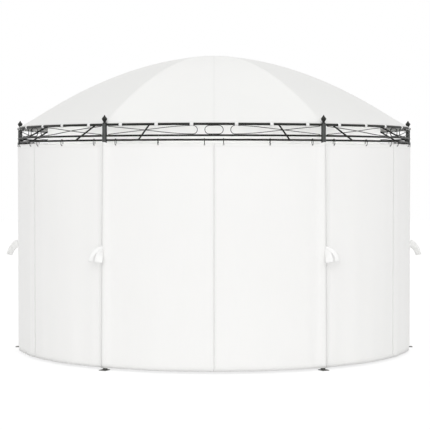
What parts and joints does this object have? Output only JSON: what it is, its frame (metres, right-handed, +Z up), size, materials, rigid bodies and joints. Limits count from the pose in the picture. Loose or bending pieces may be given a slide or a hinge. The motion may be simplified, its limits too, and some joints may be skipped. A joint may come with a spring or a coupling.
{
  "type": "gazebo",
  "caption": "Round garden gazebo: steel posts, a ring truss with wire scrolls, a domed fabric canopy on arched ribs and closed side curtains, for shade and shelter outdoors.",
  "frame": {"origin": "centre of the round plan at floor level", "axes": "+Z up; the front bay faces -Y; two posts stand on the X axis"},
  "size_m": [3.7254, 3.5, 2.6118],
  "materials": {
    "frame_metal": "satin charcoal powder coat",
    "hook_metal": "satin dark coating",
    "canopy_fabric": "off-white coated polyester",
    "curtain_fabric": "off-white woven polyester",
    "valance_fabric": "off-white woven polyester",
    "trim_fabric": "white webbing"
  },
  "bodies": {
    "root": {"canopy": "canopy_fabric", "canopy_ties": "trim_fabric", "curtain_1": "curtain_fabric", "curtain_2": "curtain_fabric", "curtain_3": "curtain_fabric", "curtain_4": "curtain_fabric", "curtain_5": "curtain_fabric", "curtain_6": "curtain_fabric", "curtain_hooks": "hook_metal", "finial_1": "frame_metal", "finial_2": "frame_metal", "finial_3": "frame_metal", "finial_4": "frame_metal", "finial_5": "frame_metal", "finial_6": "frame_metal", "inner_valance": "valance_fabric", "post_1": "frame_metal", "post_2": "frame_metal", "post_3": "frame_metal", "post_4": "frame_metal", "post_5": "frame_metal", "post_6": "frame_metal", "ring_bay_1": "frame_metal", "ring_bay_2": "frame_metal", "ring_bay_3": "frame_metal", "ring_bay_4": "frame_metal", "ring_bay_5": "frame_metal", "ring_bay_6": "frame_metal", "roof_hoop": "frame_metal", "roof_hub": "frame_metal", "roof_rib_1": "frame_metal", "roof_rib_2": "frame_metal", "roof_rib_3": "frame_metal", "roof_rib_4": "frame_metal", "roof_rib_5": "frame_metal", "roof_rib_6": "frame_metal", "roof_stays": "frame_metal", "tieback_straps_1": "trim_fabric", "tieback_straps_2": "trim_fabric", "tieback_straps_3": "trim_fabric", "tieback_straps_4": "trim_fabric", "tieback_straps_5": "trim_fabric", "tieback_straps_6": "trim_fabric"}
  },
  "joints": []
}
